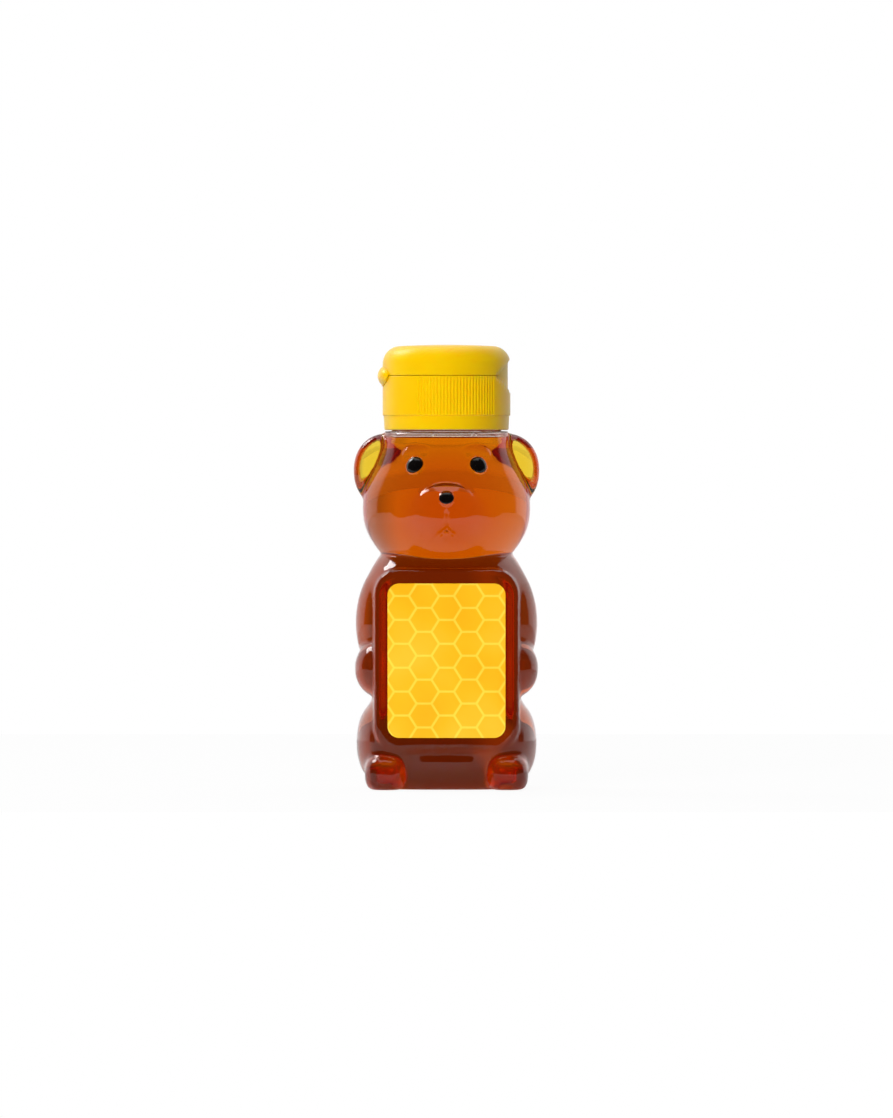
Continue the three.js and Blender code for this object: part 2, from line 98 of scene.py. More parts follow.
def addRange(tree, value, low, high, toLow=0.0, toHigh=1.0, **settings):
    inputs = {"Value": value, "From Min": low, "From Max": high, "To Min": toLow, "To Max": toHigh}
    return addNode(tree, "MapRange", inputs, **settings).outputs["Result"]


def addRamp(tree, factor, stops):
    node = addNode(tree, "ValToRGB", {"Fac": factor})
    ramp = node.color_ramp
    while len(ramp.elements) < len(stops):
        ramp.elements.new(1.0)
    for element, (place, colour) in zip(ramp.elements, stops):
        element.position = place
        element.color = linearColour(colour) if isinstance(colour, str) else (*[colour] * 3, 1.0)
    return node.outputs["Color"]


def mixColours(tree, factor, first, second):
    node = addNode(tree, "Mix", {"Factor": factor, 6: first, 7: second}, data_type="RGBA")
    return node.outputs[2]


def newMaterial(name):
    material = bpy.data.materials.new(name)
    material.use_nodes = True
    tree = material.node_tree
    tree.nodes.clear()
    return material, tree, addNode(tree, "TexCoord").outputs["Object"]


def addSurface(tree, inputs, **others):
    shader = addNode(tree, "BsdfPrincipled", inputs)
    addNode(tree, "OutputMaterial", {"Surface": shader.outputs["BSDF"], **others})
    return shader


# meshes


def addObject(name, data):
    added = bpy.data.objects.new(name, data)
    bpy.context.scene.collection.objects.link(added)
    return added


def addMesh(name, points, faces, material):
    mesh = bpy.data.meshes.new(name)
    mesh.from_pydata(points, [], faces)
    mesh.materials.append(material)
    return addObject(name, mesh)


# A closed piece from points in mm about the neck's axis, with every face turned outward
def meshPiece(name, points, faces, material):
    placed = np.asarray(points, float) * mm + [0, neckY, 0]
    piece = addMesh(name, placed.tolist(), [list(map(int, face)) for face in faces], material)
    mesh, work = piece.data, bmesh.new()
    work.from_mesh(mesh)
    bmesh.ops.remove_doubles(work, verts=work.verts, dist=2e-7)
    bmesh.ops.recalc_face_normals(work, faces=work.faces)
    if work.calc_volume(signed=True) < 0:
        bmesh.ops.reverse_faces(work, faces=work.faces)
    work.to_mesh(mesh)
    work.free()
    mesh.shade_smooth()
    return piece


# A profile of (radius, height) rows turned round the axis; shift(turn, radius, height) may move
# the surface
def turnedMesh(profile, steps, closed=False, shift=None):
    profile = np.asarray(profile, float)
    turn = np.arange(steps) * 2 * math.pi / steps
    radius, turns = np.meshgrid(profile[:, 0], turn, indexing="ij")
    height = np.repeat(profile[:, 1][:, None], steps, 1)
    if shift is not None:
        radius, height = shift(turns, radius, height)
    points = np.stack([radius * np.cos(turns), radius * np.sin(turns), height], -1).reshape(-1, 3)
    rows = len(profile)
    row = np.arange(rows if closed else rows - 1)
    a = (row[:, None] * steps + np.arange(steps)[None]).ravel()
    b = (row[:, None] * steps + (np.arange(steps) + 1)[None] % steps).ravel()
    c, d = (b + steps) % (rows * steps), (a + steps) % (rows * steps)
    return points, np.stack([a, b, c, d], 1).tolist()


# Rounds the corners of a profile: rows are (radius, height, fillet)
def rounded(rows, steps=5):
    rows = [(*row, 0)[:3] for row in rows]
    line = []
    for i, (x, z, fillet) in enumerate(rows):
        here = np.array([x, z])
        if fillet == 0 or i in (0, len(rows) - 1):
            line.append(here)
            continue
        before, after = (np.array(rows[i + k][:2]) - here for k in (-1, 1))
        lengths = np.linalg.norm(before), np.linalg.norm(after)
        before, after = before / lengths[0], after / lengths[1]
        half = math.acos(np.clip(before @ after, -1, 1)) / 2
        reach = min(fillet / math.tan(half), *(0.49 * length for length in lengths))
        start, end = here + before * reach, here + after * reach
        for t in np.linspace(0, 1, steps + 1):
            line.append((1 - t) ** 2 * start + 2 * t * (1 - t) * here + t ** 2 * end)
    return np.array(line)


# More points along the straight runs of a profile
def spaced(profile, gap):
    line = [profile[0]]
    for start, end in zip(profile, profile[1:]):
        count = max(1, int(np.ceil(np.linalg.norm(end - start) / gap)))
        line += [start + (end - start) * k / count for k in range(1, count + 1)]
    return np.array(line)


# Faces between rows of points that each go once round
def ringFaces(first, rows, count):
    return [
        [a + k, a + (k + 1) % count, a + count + (k + 1) % count, a + count + k]
        for a in range(first, first + (rows - 1) * count, count) for k in range(count)
    ]


# The same with both ends closed
def tubeFaces(rows, count):
    ends = [list(range(count)), list(range((rows - 1) * count, rows * count))]
    return ringFaces(0, rows, count) + ends


# the bear's body as one smooth field: below zero inside, in mm

bear = {
    "width": 59.6,
    "depth": 52.0,
    "shoulder": 114.3,
    "limbBlend": 1.8,  # fillet of the moulded creases, mm
    "neckBlend": 1.2,
    "earBlend": 1.0,
    "dishBlend": 2.6,
    "faceBlend": 0.7,
    "outerGrid": 0.65,  # mm between samples of the outer skin
    "wallGrid": 1.0,
    "wall": 0.9,
    "limbs": {
        "upperArm": ([0.245, -0.095, 0.464], [0.243, 0.29, 0.193], 2),
        "paw": ([0.337, -0.235, 0.337], [0.154, 0.225, 0.084], 2.1),
        "leg": ([0.257, -0.035, 0.129], [0.227, 0.455, 0.136], 2.3),
        "foot": ([0.325, -0.36, 0.045], [0.112, 0.19, 0.056], 2.6),
    },
    "ear": ([0.317, 0.01, 0.889], [0.183, 0.115, 0.105], 2.15),
    "earDish": ([0.306, -0.155, 0.893], [0.118, 0.085, 0.08], 2),
    "muzzle": ([0, -0.405, 0.784], [0.183, 0.17, 0.078], 2.1),
    "torso": [
        (0, 0.342, 0.411), (0.013, 0.369, 0.444), (0.044, 0.389, 0.465), (0.123, 0.399, 0.471),
        (0.258, 0.401, 0.467), (0.525, 0.401, 0.467), (0.594, 0.402, 0.465), (0.627, 0.389, 0.45),
        (0.656, 0.351, 0.407), (0.682, 0.277, 0.321),
    ],
    "head": [
        (0.63, 0.285, 0.316), (0.656, 0.352, 0.39), (0.673, 0.378, 0.419), (0.695, 0.406, 0.45),
        (0.717, 0.428, 0.474), (0.74, 0.442, 0.49), (0.787, 0.451, 0.5), (0.831, 0.442, 0.49),
        (0.869, 0.416, 0.461), (0.916, 0.374, 0.415), (0.954, 0.346, 0.384), (0.98, 0.334, 0.37),
        (0.991, 0.319, 0.354),
    ],
    "frontSquare": 3.4,
    "backSquare": 3.1,
    "squareTop": 0.56,
    "neckLine": 0.656,
    "muzzleEase": 4.5,  # how much softer the muzzle meets the face at its foot, mm
    "muzzleHeights": (84, 96),  # where that ends, mm up
    "chin": {"drop": 2.8, "reach": 24, "height": 74, "spread": 6},
    "footBlend": 1.0, "endBlend": 0.5, "shoulderBlend": 0.8,
    "pushUp": (14, 14, 2.2),  # the hollow under the base
}
bearScale = np.array([bear["width"], bear["depth"], bear["shoulder"]])

beltPanel = {
    "width": 46.2, "height": 58.7, "bottom": 11.9, "corner": 8.5, "edge": 2.3, "proud": 2.1,
    "blend": 0.9,
}
panelFront = bear["limbs"]["leg"][1][1] * bear["depth"] + beltPanel["proud"]
panelMiddle = beltPanel["bottom"] + beltPanel["height"] / 2

face = {
    "eyePlace": (10.0, 0.903 * bear["shoulder"]), "eyeSize": (2.4, 1.9, 2.7),
    "noseSize": (2.2, 1.3, 1.9), "noseRise": 0.35, "inkBorder": 0.75,
    "inkBlend": 0.5, "browSize": (3.2, 0.5, 1.3), "browPlace": (10.0, 107.5), "browBorder": 0.5,
    "browBlend": 1.8, "creaseWidth": 0.6, "creaseDepth": 0.9, "creaseFront": -20,
    "philtrum": [(0, 88.4), (0, 83.2)], "mouth": [(2.0, 81.4), (0, 83.2), (-2.0, 81.4)],
}

neck = {
    "shoulderRadius": 19.8, "shoulderDrop": 3.3, "seam": 0.45, "ease": 0.4, "radius": 17.45,
    "bore": 16.2, "top": 125.0, "threadRise": 1.2, "threadPitch": 4.233, "threadWidth": 1.05,
    "threadLow": 117.0, "threadHigh": 123.6,
}
honeyLevel = bear["shoulder"] - 1.9


# A smooth curve of half width and half depth over height, from a few rows
def smoothTable(rows, softness=0.7):
    rows = np.array(rows, float)
    heights = rows[:, 0] * bear["shoulder"]
    table = np.arange(heights[0], heights[-1] + 0.1, 0.1)
    places = np.clip(np.searchsorted(heights, table, "right") - 1, 0, len(heights) - 2)
    gap = (heights[1:] - heights[:-1])[places]
    t = (table - heights[places]) / gap
    curves = []
    for column, size in ((1, bear["width"]), (2, bear["depth"])):
        values = rows[:, column] * size
        slopes = np.gradient(values, heights)
        curve = (
            (2 * t ** 3 - 3 * t ** 2 + 1) * values[places]
            + (t ** 3 - 2 * t ** 2 + t) * gap * slopes[places]
            + (3 * t ** 2 - 2 * t ** 3) * values[places + 1]
            + (t ** 3 - t ** 2) * gap * slopes[places + 1]
        )
        reach = int(softness * 30)
        kernel = np.exp(-0.5 * (np.arange(-reach, reach + 1) * 0.1 / softness) ** 2)
        padded = np.pad(curve, reach, mode="reflect", reflect_type="odd")
        curves.append(np.convolve(padded, kernel / kernel.sum(), "valid"))
    return table, curves


torsoTable = smoothTable(bear["torso"])
headTable = smoothTable(bear["head"])


# About how far a point is from a rounded block, below zero inside; a square of 2 makes it an
# ellipsoid
def away(point, centre, reach, square):
    parts = [np.abs(p - c) / r + 1e-9 for p, c, r in zip(point, centre, reach)]
    size = sum(part ** square for part in parts) ** (1 / square)
    slope = np.sqrt(sum(((part / size) ** (square - 1) / r) ** 2 for part, r in zip(parts, reach)))
    return (size - 1) / slope


# Two fields as one, with a fillet between them
def joined(a, b, blend):
    overlap = np.maximum(blend - np.abs(a - b), 0)
    return np.minimum(a, b) - overlap ** 2 / (4 * blend)


def cutTo(a, b, blend):
    return -joined(-a, -b, blend)


def smoothStep(low, high, value):
    t = np.clip((value - low) / (high - low), 0, 1)
    return t * t * (3 - 2 * t)


def limbAway(x, y, z, entry, side=1):
    at, reach, square = entry
    centre = np.array(at) * bearScale * [side, 1, 1]
    return away((x, y, z), centre, np.array(reach) * bearScale, square)


def section(x, y, z, table, square):
    heights, sizes = table
    return away((x, y), (0, 0), [np.interp(z, heights, size) for size in sizes], square)


def cornerAway(a, b):
    return np.hypot(np.maximum(a, 0), np.maximum(b, 0)) + np.minimum(np.maximum(a, b), 0)


def panelAway(x, y, z):
    corner, edge = beltPanel["corner"], beltPanel["edge"]
    px = np.abs(x) - (beltPanel["width"] / 2 - corner)
    pz = np.abs(z - panelMiddle) - (beltPanel["height"] / 2 - corner)
    outline = cornerAway(px, pz) - (corner - edge)
    depth = panelFront * 0.8
    return cornerAway(outline, np.abs(y + panelFront - depth / 2) - depth / 2 + edge) - edge


def headFront(x, z):
    heights, (widths, depths) = headTable
    share = x / np.interp(z, heights, widths)
    return -np.interp(z, heights, depths) * math.sqrt(max(0, 1 - share ** 2))


# Where a bump stands on the face, and which way it faces
def faceSeat(x, z, size):
    step = size[0]
    slopeX = (headFront(x + step, z) - headFront(x - step, z)) / (2 * step)
    slopeZ = (headFront(x, z + step) - headFront(x, z - step)) / (2 * step)
    facing = Vector((slopeX, -1, slopeZ)).normalized()
    return {"point": Vector((x, headFront(x, z), z)), "facing": facing, "size": size}


def noseSeat():
    at, reach, _ = bear["muzzle"]
    rise = face["noseRise"]
    out = math.sqrt(1 - rise ** 2)
    facing = Vector((0, -out / (reach[1] * bear["depth"]), rise / (reach[2] * bear["shoulder"])))
    point = np.array([0, at[1] - reach[1] * out, at[2] + reach[2] * rise]) * bearScale
    return {"point": Vector(point), "facing": facing.normalized(), "size": face["noseSize"]}


def seatAxes(seat):
    turn = Vector((0, -1, 0)).rotation_difference(seat["facing"])
    return [np.array(turn @ Vector(axis)) for axis in ((1, 0, 0), (0, 1, 0), (0, 0, 1))]


def bumpAway(x, y, z, seat, border):
    axes = seatAxes(seat)
    offset = [value - middle for value, middle in zip((x, y, z), seat["point"])]
    local = [sum(part * along for part, along in zip(offset, axis)) for axis in axes]
    reach = [size + border for size in seat["size"]]
    return away(local, (0, border, 0), reach, 2)


def seatPair(x, z, size):
    return [faceSeat(side * x, z, size) for side in (-1, 1)]


seats = dict(zip(("eye_left", "eye_right"), seatPair(*face["eyePlace"], face["eyeSize"])))
seats["nose"] = noseSeat()
browSeats = seatPair(*face["browPlace"], face["browSize"])


# Closeness to a line drawn on the face, 1 on the line
def drawnLine(x, z, corners, width):
    nearest = np.full(x.shape, 1e9)
    for (x0, z0), (x1, z1) in zip(corners, corners[1:]):
        runX, runZ = x1 - x0, z1 - z0
        along = np.clip(((x - x0) * runX + (z - z0) * runZ) / (runX ** 2 + runZ ** 2), 0, 1)
        nearest = np.minimum(nearest, np.hypot(x - x0 - along * runX, z - z0 - along * runZ))
    return np.exp(-(nearest / width) ** 2)


# How far the parts round the crease under the chin hang at the front
def chinSag(x, y, z):
    chin = bear["chin"]
    front = np.clip(-y / chin["reach"], 0, 1) ** 2 * np.clip(1 - (x / chin["reach"]) ** 2, 0, 1)
    return chin["drop"] * front * np.exp(-((z - chin["height"]) / chin["spread"]) ** 2)


def shoulderBand(x, y, z):
    drop = neck["shoulderDrop"]
    rise = np.clip((z - bear["shoulder"] + 2 * drop) / drop, 0, 1)
    band = np.hypot(x, y) - neck["radius"] - (neck["shoulderRadius"] - neck["radius"]) * rise
    return np.maximum(band, bear["shoulder"] - 2 * drop - z)


def withMuzzle(head, x, y, z, withFace):
    if withFace:
        for seat in browSeats:
            head = joined(head, bumpAway(x, y, z, seat, face["browBorder"]), face["browBlend"])
    blend = bear["faceBlend"] + bear["muzzleEase"] * (1 - smoothStep(*bear["muzzleHeights"], z))
    head = joined(head, limbAway(x, y, z, bear["muzzle"]), blend)
    if withFace:
        for corners in (face["philtrum"], face["mouth"]):
            groove = drawnLine(x, z, corners, face["creaseWidth"])
            head = head + np.where(y < face["creaseFront"], groove, 0) * face["creaseDepth"]
        for seat in seats.values():
            head = joined(head, bumpAway(x, y, z, seat, face["inkBorder"]), face["inkBlend"])
    return head


# The whole bear up to its shoulder, whose round band runs on upward so that the neck can join it
def bearField(x, y, z, withFace=True):
    end, sunk = bear["endBlend"], z + chinSag(x, y, z)
    roundness = smoothStep(bear["squareTop"], bear["neckLine"], sunk / bear["shoulder"])
    square = np.where(y < 0, bear["frontSquare"], bear["backSquare"])
    square = square + (2 - square) * roundness
    field = cutTo(section(x, y, sunk, torsoTable, square), sunk - torsoTable[0][-1], end)
    for entry in bear["limbs"].values():
        for side in (-1, 1):
            field = joined(field, limbAway(x, y, sunk, entry, side), bear["limbBlend"])
    head = cutTo(section(x, y, sunk, headTable, 2), headTable[0][0] - sunk, end)
    head = cutTo(head, sunk - headTable[0][-1], end)
    head = joined(head, shoulderBand(x, y, z), bear["shoulderBlend"])
    head = withMuzzle(head, x, y, z, withFace)
    for side in (-1, 1):
        ear = limbAway(x, y, z, bear["ear"], side)
        dish = limbAway(x, y, z, bear["earDish"], side)
        head = joined(head, cutTo(ear, -dish, bear["dishBlend"]), bear["earBlend"])
    field = joined(field, head, bear["neckBlend"])
    field = joined(field, panelAway(x, y, z), beltPanel["blend"])
    field = cutTo(field, -z, bear["footBlend"])
    return cutTo(field, -away((x, y, z), (0, 0, 0), bear["pushUp"], 2), bear["footBlend"])


def gradientAt(points, field, step=0.05):
    return np.stack([
        (field(*(points + move).T) - field(*(points - move).T)) / (2 * step)
        for move in np.eye(3) * step
    ], 1)


# Closed skin of a field at a depth below its surface: one point in each grid cell that the skin
# crosses, then evened out and set back on the skin
def skinOf(field, depth, grid, low, high):
    axes = [np.arange(a, b + grid, grid) for a, b in zip(low, high)]
    values = np.empty([len(axis) for axis in axes])
    for k, x in enumerate(axes[0]):
        y, z = np.meshgrid(axes[1], axes[2], indexing="ij")
        values[k] = field(np.full_like(y, x), y, z)
    if depth:
        slope = np.sqrt(sum(part ** 2 for part in np.gradient(values, grid)))
        values = values / np.clip(slope, 0.3, None) + depth
    inside = values < 0
    shape = np.array(values.shape) - 1
    corners = [(i, j, k) for i in (0, 1) for j in (0, 1) for k in (0, 1)]
    cut = [tuple(slice(c, c + n) for c, n in zip(corner, shape)) for corner in corners]
    count = sum(inside[part].astype(int) for part in cut)
    cells = np.argwhere((count > 0) & (count < 8))
    index = np.full(shape, -1)
    index[tuple(cells.T)] = np.arange(len(cells))
    total, weight = np.zeros((len(cells), 3)), np.zeros(len(cells))
    for corner in corners:
        for axis in range(3):
            if corner[axis]:
                continue
            start, end = cells + corner, cells + corner
            end = end + np.eye(3, dtype=int)[axis]
            a, b = values[tuple(start.T)], values[tuple(end.T)]
            crosses = (a < 0) != (b < 0)
            t = np.where(crosses, a / np.where(crosses, a - b, 1), 0)
            total += np.where(crosses[:, None], start + (end - start) * t[:, None], 0)
            weight += crosses
    points = total / weight[:, None] * grid + [axis[0] for axis in axes]
    faces = []
    for axis in range(3):
        u, v = [k for k in range(3) if k != axis]
        here = [slice(None)] * 3
        here[axis] = slice(0, -1)
        ahead = list(here)
        ahead[axis] = slice(1, None)
        edges = np.argwhere(inside[tuple(here)] != inside[tuple(ahead)])
        across = edges[:, [u, v]]
        edges = edges[((across > 0) & (across < shape[[u, v]])).all(1)]
        du, dv = np.eye(3, dtype=int)[u], np.eye(3, dtype=int)[v]
        quad = np.stack([index[tuple((edges - move).T)] for move in (0 * du, du, du + dv, dv)], 1)
        flip = inside[tuple(edges.T)] == (axis == 1)
        faces.append(np.where(flip[:, None], quad, quad[:, ::-1]))
    faces = np.concatenate(faces)
    faces = faces[(faces >= 0).all(1)]
    return evened(points, faces, field, depth, 4)


def distanceAt(points, field, depth):
    slope = gradientAt(points, field)
    length = np.maximum(np.linalg.norm(slope, axis=1), 0.3)
    return field(*points.T) / length + depth, slope / length[:, None]


# Spreads the points evenly and sets them back on the skin each time
def evened(points, faces, field, depth, rounds):
    a, b = faces.ravel(), np.roll(faces, -1, 1).ravel()
    degree = np.bincount(a, minlength=len(points)) + np.bincount(b, minlength=len(points))
    for step in range(rounds):
        middle = np.stack([
            np.bincount(a, points[b, k], len(points)) + np.bincount(b, points[a, k], len(points))
            for k in range(3)
        ], 1) / np.maximum(degree, 1)[:, None]
        if step < rounds - 1:
            points = points + (middle - points) * 0.6
        for _ in range(2):
            distance, normal = distanceAt(points, field, depth)
            points = points - normal * np.clip(distance, -0.5, 0.5)[:, None]
    return points, faces


# Drops what is above a height, and sets the points along the cut on one level ring round the axis
def cutAbove(points, faces, height, radius):
    keep = (points[faces][:, :, 2] < height - 0.15).all(1)
    faces = faces[keep]
    edges = np.stack([faces.ravel(), np.roll(faces, -1, 1).ravel()], 1)
    _, inverse, counts = np.unique(
        np.sort(edges, 1), axis=0, return_inverse=True, return_counts=True,
    )
    rim = edges[counts[inverse.ravel()] == 1]
    loop = np.unique(rim)
    loop = loop[points[loop, 2] > height - 6]
    points = points.copy()
    points[loop, 2] = height
    points[loop, :2] *= (radius / np.hypot(points[loop, 0], points[loop, 1]))[:, None]
    loop = loop[np.argsort(np.arctan2(points[loop, 1], points[loop, 0]))]
    return points, faces, loop


# Triangles between two rings of points that both go round the axis in order of their turn
def zipped(points, ringA, ringB):
    turnA = np.arctan2(points[ringA, 1], points[ringA, 0])
    turnB = np.arctan2(points[ringB, 1], points[ringB, 0])
    ringB = ringB[np.argsort(turnB)]
    nextA = [*turnA[1:], turnA[0] + 2 * math.pi, 1e9]
    nextB = [*np.sort(turnB)[1:], turnB.min() + 2 * math.pi, 1e9]
    i, j, faces = 0, 0, []
    while i < len(ringA) or j < len(ringB):
        a, b = ringA[i % len(ringA)], ringB[j % len(ringB)]
        if nextA[i] <= nextB[j]:
            faces.append([a, ringA[(i + 1) % len(ringA)], b])
            i += 1
        else:
            faces.append([a, ringB[(j + 1) % len(ringB)], b])
            j += 1
    return faces


# Drops the points that no face uses
def compact(points, faces):
    used = np.unique(np.concatenate([np.ravel(face) for face in faces]))
    place = np.full(len(points), -1)
    place[used] = np.arange(len(used))
    return points[used], [[int(place[v]) for v in face] for face in faces]


# Share of a screw ridge's height at each place; the ridge has tapering ends
def threadRidge(turns, height, low):
    high, pitch, width = neck["threadHigh"], neck["threadPitch"], neck["threadWidth"]
    rise = np.zeros_like(turns)
    for lap in range(-1, int((high - low) / pitch) + 2):
        middle = low + pitch * (turns / (2 * math.pi) + lap)
        inRun = smoothStep(low - 0.05, low + 0.5, middle)
        inRun *= 1 - smoothStep(high - 0.5, high + 0.05, middle)
        flank = np.clip(1 - np.abs(height - middle) / width, 0, 1)
        rise = np.maximum(rise, inRun * smoothStep(0, 1, flank))
    return rise


print("Shapes of the bear are set")


# materials


# Clear blow-moulded PET: water-clear, high gloss, with the faint waviness of a blown wall
pet = {
    "tint": "#fbfaf6", "ior": 1.52, "waveScale": 90.0, "hazeScale": 400.0,
    "haze": (0.0, 0.03), "wave": (0.06, 0.6),  # strength, depth in mm
}


def makeClearPet():
    material, tree, place = newMaterial("clearBlownPet")
    flow = addNoise(tree, place, pet["waveScale"], 1.5)
    haze = addNoise(tree, place, pet["hazeScale"])
    addSurface(tree, {
        "Base Color": linearColour(pet["tint"]), "Transmission Weight": 1.0, "IOR": pet["ior"],
        "Roughness": addRange(tree, haze, 0.0, 1.0, *pet["haze"]),
        "Normal": addBump(tree, flow, *pet["wave"]),
    })
    return material


honey = {
    "absorption": (10.5, 49.0, 380.0),  # of red, green and blue light in each metre, natural log
    "tint": [(0.3, "#fff6e6"), (0.7, "#ffffff")], "tintScale": 70.0,
    "innerLight": 0.12,  # light that goes round inside the honey longer than a render follows it
    "turnsFollowed": 6.5,
    "topTint": "#f0a93c", "topIor": 1.49, "rippleScale": 150.0, "ripple": (0.05, 0.5),
}


# Clear clover honey: amber that deepens with the length of the light's way through it
def makeHoneyMaterial():
    material, tree, place = newMaterial("clearAmberHoney")
    turns = addNode(tree, "LightPath").outputs["Ray Depth"]
    trapped = addMaths(tree, "GREATER_THAN", turns, honey["turnsFollowed"])
    density = max(honey["absorption"])
    depth = addNode(tree, "VolumeAbsorption", {
        "Color": (*[1 - part / density for part in honey["absorption"]], 1.0), "Density": density,
    })
    shader = addSurface(tree, {
        "Base Color": addRamp(tree, addNoise(tree, place, honey["tintScale"]), honey["tint"]),
        "Roughness": 0.0, "IOR": 1.0, "Transmission Weight": 1.0, "Emission Strength": 1.0,
        "Emission Color": addMaths(tree, "MULTIPLY", trapped, honey["innerLight"]),
    }, Volume=depth.outputs["Volume"])
    shader.inputs["Emission Color"].default_value = (0, 0, 0, 1)  # no glow where links aren't read
    return material


# The honey's open surface in the neck: glossy, slightly domed up at the wall
def makeHoneyGloss():
    material, tree, place = newMaterial("honeyTopGloss")
    ripple = addNoise(tree, place, honey["rippleScale"])
    addSurface(tree, {
        "Base Color": linearColour(honey["topTint"]), "Roughness": 0.02, "IOR": honey["topIor"],
        "Transmission Weight": 1.0, "Normal": addBump(tree, ripple, *honey["ripple"]),
    })
    return material


# Injection-moulded polypropylene: soft satin gloss, very fine moulded grain, warm light inside it
yellow = {
    "tint": [(0.3, "#fdc203"), (0.7, "#fec705")], "roughness": (0.3, 0.4), "ior": 1.49,
    "gloss": 0.3, "glowShare": 0.35, "glowReach": (0.004, 0.0016, 0.0002),  # m, red green blue
    "grainScale": 2500.0, "grain": (0.06, 0.05), "flowScale": 120.0, "flow": (0.12, 0.2),
}


def makeYellowPp():
    material, tree, place = newMaterial("mouldedYellowPp")
    flow = addNoise(tree, place, yellow["flowScale"], 3.0)
    fine = addBump(tree, addNoise(tree, place, yellow["grainScale"]), *yellow["grain"])
    addSurface(tree, {
        "Base Color": addRamp(tree, flow, yellow["tint"]),
        "Roughness": addRange(tree, flow, 0.0, 1.0, *yellow["roughness"]),
        "Normal": addBump(tree, flow, *yellow["flow"], fine),
        "IOR": yellow["ior"], "Specular IOR Level": yellow["gloss"],
        "Subsurface Weight": yellow["glowShare"], "Subsurface Radius": yellow["glowReach"],
        "Subsurface Scale": 1.0,
    })
    return material


# Pad-printed epoxy ink: near black and wet-looking, a little uneven where the pad let go
ink = {
    "tint": [(0.35, "#060404"), (0.75, "#0d0806")], "roughness": 0.16, "unevenScale": 900.0,
    "uneven": (0.1, 0.05),
}


def makeBlackInk():
    material, tree, place = newMaterial("padPrintedBlackInk")
    uneven = addNoise(tree, place, ink["unevenScale"], 3.0)
    addSurface(tree, {
        "Base Color": addRamp(tree, uneven, ink["tint"]), "Roughness": ink["roughness"],
        "Normal": addBump(tree, uneven, *ink["uneven"]),
    })
    return material


# Pressed polyethylene foam: off-white, matt, closed cells about 0.3 mm wide
foam = {
    "tint": [(0.0, "#e4e0d4"), (0.6, "#f4f1e8")], "roughness": 0.75, "cellScale": 3300.0,
    "cell": (0.3, 0.1),
}


def makeLinerFoam():
    material, tree, place = newMaterial("pressedPeFoam")
    inputs = {"Vector": place, "Scale": foam["cellScale"]}
    cells = addNode(tree, "TexVoronoi", inputs).outputs["Distance"]
    addSurface(tree, {
        "Base Color": addRamp(tree, cells, foam["tint"]), "Roughness": foam["roughness"],
        "Normal": addBump(tree, cells, *foam["cell"]),
    })
    return material


honeycomb = {
    "columnPitch": 7.15,  # mm between columns of cells
    "rowPitch": 7.6,  # mm across a cell's flat sides
    "rowPlace": 58.05,  # height of a cell's middle in the middle column
    "line": 0.34,  # half the printed line's width, mm
    "lineEdge": 0.1,  # half the width over which the line ends, mm
    "ground": [(0.3, "#f8b20f"), (0.5, "#f9bc17"), (0.7, "#fcc52e")],
    "lineColour": "#ffdc48", "fadeScale": 45.0, "fibreScale": 1200.0, "fibre": (0.05, 0.05),
    "roughness": 0.42,
}


# Closeness to the nearest line of the honeycomb, from 1 on the line to 0 off it
def honeycombLine(tree, place):
    def maths(operation, *values):
        return addMaths(tree, operation, *values)

    axes = addNode(tree, "SeparateXYZ", {"Vector": place}).outputs
    across = maths("DIVIDE", axes["X"], honeycomb["columnPitch"] * mm)
    up = maths("SUBTRACT", axes["Z"], honeycomb["rowPlace"] * mm)
    up = maths("DIVIDE", up, honeycomb["rowPitch"] * mm)
    edges = []
    for shiftX, shiftZ in ((0.0, 0.0), (1.0, 0.5)):
        cellX = maths("ADD", across, shiftX)
        pair = maths("ROUND", maths("MULTIPLY", cellX, 0.5))
        cellX = maths("SUBTRACT", cellX, maths("MULTIPLY", pair, 2.0))
        cellZ = maths("ADD", up, shiftZ)
        cellZ = maths("SUBTRACT", cellZ, maths("ROUND", cellZ))
        awayX, awayZ = maths("ABSOLUTE", cellX), maths("ABSOLUTE", cellZ)
        slanted = maths("ADD", maths("MULTIPLY", awayX, 0.75), maths("MULTIPLY", awayZ, 0.5))
        edges.append(maths("SUBTRACT", 0.5, maths("MAXIMUM", slanted, awayZ)))
    edge = maths("MULTIPLY", maths("MAXIMUM", *edges), honeycomb["rowPitch"])
    low, high = (honeycomb["line"] + side * honeycomb["lineEdge"] for side in (-1, 1))
    return addRange(tree, edge, low, high, 1.0, 0.0, interpolation_type="SMOOTHSTEP")


# Printed biaxial polypropylene label film: satin, with a flat honeycomb print
def makeLabelFilm():
    material, tree, place = newMaterial("printedPpFilm")
    fade = addNoise(tree, place, honeycomb["fadeScale"], 1.0)
    ground = addRamp(tree, fade, honeycomb["ground"])
    inked = addMaths(tree, "MULTIPLY_ADD", fade, 0.8, 0.4)
    inked = addMaths(tree, "MULTIPLY", honeycombLine(tree, place), inked, use_clamp=True)
    fibre = addNoise(tree, place, honeycomb["fibreScale"])
    addSurface(tree, {
        "Base Color": mixColours(tree, inked, ground, linearColour(honeycomb["lineColour"])),
        "Roughness": honeycomb["roughness"], "Normal": addBump(tree, fibre, *honeycomb["fibre"]),
    })
    return material


clearPet, labelFilm = makeClearPet(), makeLabelFilm()
honeyMaterial, honeyGloss = makeHoneyMaterial(), makeHoneyGloss()
yellowPp, blackInk, linerFoam = makeYellowPp(), makeBlackInk(), makeLinerFoam()
print("Materials are made")


# the bottle's shell and the honey in it

skinBox = np.array([-31.5, -33.0, -1.6]), np.array([31.5, 28.0, 116.0])
honeyTop = {
    "gap": 0.05,  # mm between the honey's rim and the wall
    "climb": [(0, 0), (0.5, 0.25), (1.2, 0.42), (2.4, 0.5)],  # in from the rim, down
    "flat": 0.52, "lift": 0.04,
}


